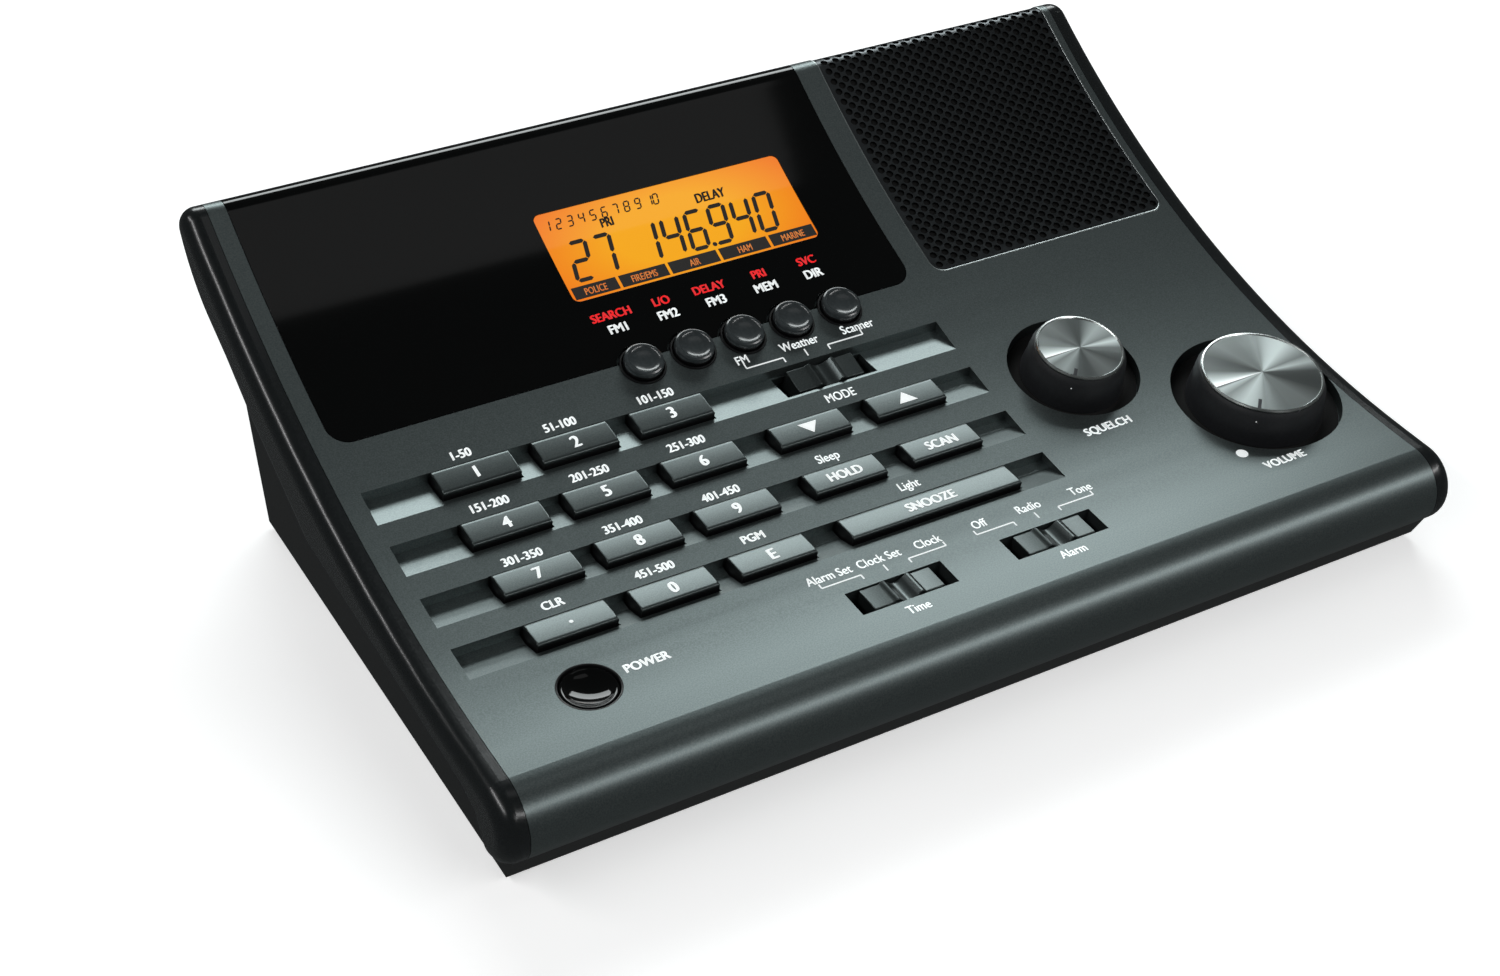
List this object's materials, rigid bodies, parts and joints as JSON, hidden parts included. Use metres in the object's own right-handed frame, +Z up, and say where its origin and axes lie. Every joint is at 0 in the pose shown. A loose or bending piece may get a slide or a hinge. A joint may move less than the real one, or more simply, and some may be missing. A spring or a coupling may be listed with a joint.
{
  "type": "desktop scanner radio",
  "caption": "Wedge-shaped desktop radio receiver with a swept top: display window and speaker grille at the back, keypad, slide switches and two knobs.",
  "frame": {"origin": "centre of the footprint on the desk, under the middle of the bounding box", "axes": "+X to the operator's right along the width, +Y to the back, +Z up"},
  "size_m": [0.1448, 0.1008, 0.0406],
  "materials": {
    "case_paint": "satin metallic paint",
    "cheek_black": "satin, moulded",
    "base_black": "fine texture",
    "lens_black": "high gloss, printed from behind",
    "grille_metal": "perforated sheet, dark",
    "trim_black": "matt",
    "lcd_amber": "lit amber liquid crystal",
    "light_guide": "milky acrylic",
    "board_green": "solder mask",
    "mat_rubber": "silicone",
    "steel_plated": "tin plated",
    "cone_paper": "pressed paper",
    "magnet_grey": "zinc plated",
    "jack_nickel": "nickel plated",
    "foot_rubber": "matt",
    "screw_black": "black zinc",
    "key_grey": "satin metallic paint on black",
    "button_grey": "gloss",
    "power_gloss": "high gloss",
    "knob_black": "satin",
    "knob_metal": "spun, lathe-turned face",
    "shaft_steel": "ground"
  },
  "bodies": {
    "case": {"top_shell": "case_paint", "left_cheek": "cheek_black", "right_cheek": "cheek_black", "base_shell": "base_black", "display_lens": "lens_black", "speaker_grille": "grille_metal", "lcd_frame": "trim_black", "lcd_glass": "lcd_amber", "lcd_backlight": "light_guide", "display_board": "board_green", "keypad_mat": "mat_rubber", "keypad_board": "board_green", "squelch_pot": "steel_plated", "volume_pot": "steel_plated", "slide_switch_bodies": "steel_plated", "main_board": "board_green", "rf_shield": "steel_plated", "speaker_basket": "steel_plated", "speaker_cone": "cone_paper", "speaker_magnet": "magnet_grey", "phone_jack": "trim_black", "power_jack": "trim_black", "antenna_jack": "jack_nickel", "battery_contacts": "steel_plated", "rubber_feet": "foot_rubber", "case_screws": "screw_black"},
    "key_1_piece": {"key_1": "key_grey"},
    "key_2_piece": {"key_2": "key_grey"},
    "key_3_piece": {"key_3": "key_grey"},
    "key_4_piece": {"key_4": "key_grey"},
    "key_5_piece": {"key_5": "key_grey"},
    "key_6_piece": {"key_6": "key_grey"},
    "key_down_piece": {"key_down": "key_grey"},
    "key_up_piece": {"key_up": "key_grey"},
    "key_7_piece": {"key_7": "key_grey"},
    "key_8_piece": {"key_8": "key_grey"},
    "key_9_piece": {"key_9": "key_grey"},
    "key_hold_piece": {"key_hold": "key_grey"},
    "key_scan_piece": {"key_scan": "key_grey"},
    "key_dot_piece": {"key_dot": "key_grey"},
    "key_0_piece": {"key_0": "key_grey"},
    "key_enter_piece": {"key_enter": "key_grey"},
    "key_snooze_piece": {"key_snooze": "key_grey"},
    "button_memory_1_piece": {"button_memory_1": "button_grey"},
    "button_memory_2_piece": {"button_memory_2": "button_grey"},
    "button_memory_3_piece": {"button_memory_3": "button_grey"},
    "button_memory_4_piece": {"button_memory_4": "button_grey"},
    "button_memory_5_piece": {"button_memory_5": "button_grey"},
    "power_button_piece": {"power_button": "power_gloss"},
    "squelch_control": {"squelch_knob": "knob_black", "squelch_cap": "knob_metal", "squelch_shaft": "shaft_steel"},
    "volume_control": {"volume_knob": "knob_black", "volume_cap": "knob_metal", "volume_shaft": "shaft_steel"},
    "mode_slider_piece": {"mode_slider": "key_grey"},
    "time_slider_piece": {"time_slider": "key_grey"},
    "alarm_slider_piece": {"alarm_slider": "key_grey"},
    "battery_door_piece": {"battery_door": "base_black"}
  },
  "joints": [
    {"name": "key_1_press", "type": "slide", "parent": "case", "child": "key_1_piece", "axis": [0, 0.1805, -0.9836], "range_m": [0, 0.001], "stiffness_N_per_m": 400, "springref_m": -0.001},
    {"name": "key_2_press", "type": "slide", "parent": "case", "child": "key_2_piece", "axis": [0, 0.1805, -0.9836], "range_m": [0, 0.001], "stiffness_N_per_m": 400, "springref_m": -0.001},
    {"name": "key_3_press", "type": "slide", "parent": "case", "child": "key_3_piece", "axis": [0, 0.1805, -0.9836], "range_m": [0, 0.001], "stiffness_N_per_m": 400, "springref_m": -0.001},
    {"name": "key_4_press", "type": "slide", "parent": "case", "child": "key_4_piece", "axis": [0, 0.1805, -0.9836], "range_m": [0, 0.001], "stiffness_N_per_m": 400, "springref_m": -0.001},
    {"name": "key_5_press", "type": "slide", "parent": "case", "child": "key_5_piece", "axis": [0, 0.1805, -0.9836], "range_m": [0, 0.001], "stiffness_N_per_m": 400, "springref_m": -0.001},
    {"name": "key_6_press", "type": "slide", "parent": "case", "child": "key_6_piece", "axis": [0, 0.1805, -0.9836], "range_m": [0, 0.001], "stiffness_N_per_m": 400, "springref_m": -0.001},
    {"name": "key_down_press", "type": "slide", "parent": "case", "child": "key_down_piece", "axis": [0, 0.1805, -0.9836], "range_m": [0, 0.001], "stiffness_N_per_m": 400, "springref_m": -0.001},
    {"name": "key_up_press", "type": "slide", "parent": "case", "child": "key_up_piece", "axis": [0, 0.1805, -0.9836], "range_m": [0, 0.001], "stiffness_N_per_m": 400, "springref_m": -0.001},
    {"name": "key_7_press", "type": "slide", "parent": "case", "child": "key_7_piece", "axis": [0, 0.1805, -0.9836], "range_m": [0, 0.001], "stiffness_N_per_m": 400, "springref_m": -0.001},
    {"name": "key_8_press", "type": "slide", "parent": "case", "child": "key_8_piece", "axis": [0, 0.1805, -0.9836], "range_m": [0, 0.001], "stiffness_N_per_m": 400, "springref_m": -0.001},
    {"name": "key_9_press", "type": "slide", "parent": "case", "child": "key_9_piece", "axis": [0, 0.1805, -0.9836], "range_m": [0, 0.001], "stiffness_N_per_m": 400, "springref_m": -0.001},
    {"name": "key_hold_press", "type": "slide", "parent": "case", "child": "key_hold_piece", "axis": [0, 0.1805, -0.9836], "range_m": [0, 0.001], "stiffness_N_per_m": 400, "springref_m": -0.001},
    {"name": "key_scan_press", "type": "slide", "parent": "case", "child": "key_scan_piece", "axis": [0, 0.1805, -0.9836], "range_m": [0, 0.001], "stiffness_N_per_m": 400, "springref_m": -0.001},
    {"name": "key_dot_press", "type": "slide", "parent": "case", "child": "key_dot_piece", "axis": [0, 0.1805, -0.9836], "range_m": [0, 0.001], "stiffness_N_per_m": 400, "springref_m": -0.001},
    {"name": "key_0_press", "type": "slide", "parent": "case", "child": "key_0_piece", "axis": [0, 0.1805, -0.9836], "range_m": [0, 0.001], "stiffness_N_per_m": 400, "springref_m": -0.001},
    {"name": "key_enter_press", "type": "slide", "parent": "case", "child": "key_enter_piece", "axis": [0, 0.1805, -0.9836], "range_m": [0, 0.001], "stiffness_N_per_m": 400, "springref_m": -0.001},
    {"name": "key_snooze_press", "type": "slide", "parent": "case", "child": "key_snooze_piece", "axis": [0, 0.1805, -0.9836], "range_m": [0, 0.001], "stiffness_N_per_m": 400, "springref_m": -0.001},
    {"name": "button_memory_1_press", "type": "slide", "parent": "case", "child": "button_memory_1_piece", "axis": [0, 0.321, -0.9471], "range_m": [0, 0.0008], "stiffness_N_per_m": 400, "springref_m": -0.001},
    {"name": "button_memory_2_press", "type": "slide", "parent": "case", "child": "button_memory_2_piece", "axis": [0, 0.321, -0.9471], "range_m": [0, 0.0008], "stiffness_N_per_m": 400, "springref_m": -0.001},
    {"name": "button_memory_3_press", "type": "slide", "parent": "case", "child": "button_memory_3_piece", "axis": [0, 0.321, -0.9471], "range_m": [0, 0.0008], "stiffness_N_per_m": 400, "springref_m": -0.001},
    {"name": "button_memory_4_press", "type": "slide", "parent": "case", "child": "button_memory_4_piece", "axis": [0, 0.321, -0.9471], "range_m": [0, 0.0008], "stiffness_N_per_m": 400, "springref_m": -0.001},
    {"name": "button_memory_5_press", "type": "slide", "parent": "case", "child": "button_memory_5_piece", "axis": [0, 0.321, -0.9471], "range_m": [0, 0.0008], "stiffness_N_per_m": 400, "springref_m": -0.001},
    {"name": "power_button_press", "type": "slide", "parent": "case", "child": "power_button_piece", "axis": [0, 0.0274, -0.9996], "range_m": [0, 0.001], "stiffness_N_per_m": 400, "springref_m": -0.001},
    {"name": "squelch_turn", "type": "hinge", "parent": "case", "child": "squelch_control", "pos_m": [0.0354, -0.0103, 0.01758], "axis": [0, -0.1873, 0.9823], "range_deg": [-150, 150]},
    {"name": "volume_turn", "type": "hinge", "parent": "case", "child": "volume_control", "pos_m": [0.0568, -0.025, 0.01549], "axis": [0, -0.0936, 0.9956], "range_deg": [-150, 150]},
    {"name": "mode_slider_shift", "type": "slide", "parent": "case", "child": "mode_slider_piece", "axis": [1, 0, 0], "range_m": [-0.0016, 0.0016]},
    {"name": "time_slider_shift", "type": "slide", "parent": "case", "child": "time_slider_piece", "axis": [1, 0, 0], "range_m": [-0.0016, 0.0016]},
    {"name": "alarm_slider_shift", "type": "slide", "parent": "case", "child": "alarm_slider_piece", "axis": [1, 0, 0], "range_m": [-0.0016, 0.0016]},
    {"name": "battery_door_lift_off", "type": "slide", "parent": "case", "child": "battery_door_piece", "axis": [0, 0, -1], "range_m": [0, 0.015]}
  ]
}
